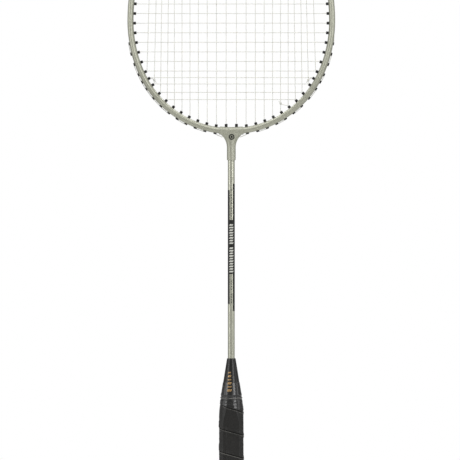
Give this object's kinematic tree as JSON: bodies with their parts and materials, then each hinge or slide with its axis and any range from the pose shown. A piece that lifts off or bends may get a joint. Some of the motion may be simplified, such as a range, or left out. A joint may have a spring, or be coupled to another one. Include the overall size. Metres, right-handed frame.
{
  "type": "badminton racket",
  "caption": "Strung oval hoop on a slim round shaft with a moulded joint, a flared cone and a wrapped octagonal handle.",
  "frame": {"origin": "centre of the butt cap's flat end", "axes": "+Z along the shaft towards the head, +X across the head, the strings in the XZ plane, -Y the front face"},
  "size_m": [0.2076, 0.0278, 0.6697],
  "materials": {
    "frame_paint": "satin",
    "joint_paint": "satin",
    "shaft_paint": "gloss",
    "decal_print": "gloss",
    "cone_print": "gloss",
    "print_pale": "gloss",
    "steel": "satin",
    "handle_wood": "matte",
    "cone_plastic": "gloss",
    "butt_plastic": "satin",
    "grip_cushion": "matte",
    "tape_film": "gloss",
    "grommet_nylon": "satin",
    "string_nylon": "satin"
  },
  "bodies": {
    "root": {"head_frame": "frame_paint", "t_joint": "joint_paint", "shaft": "shaft_paint", "shaft_decal": "decal_print", "shaft_pin": "steel", "butt_tacks": "steel", "handle_core": "handle_wood", "cone_cap": "cone_plastic", "cone_decal": "cone_print", "butt_cap": "butt_plastic", "grip_wrap": "grip_cushion", "finishing_tape": "tape_film", "main_string": "string_nylon", "cross_string": "string_nylon", "grommets_throat": "grommet_nylon", "grommets_lower_left": "grommet_nylon", "grommets_lower_right": "grommet_nylon", "grommets_side_left": "grommet_nylon", "grommets_side_right": "grommet_nylon", "grommets_crown": "grommet_nylon"}
  },
  "joints": []
}
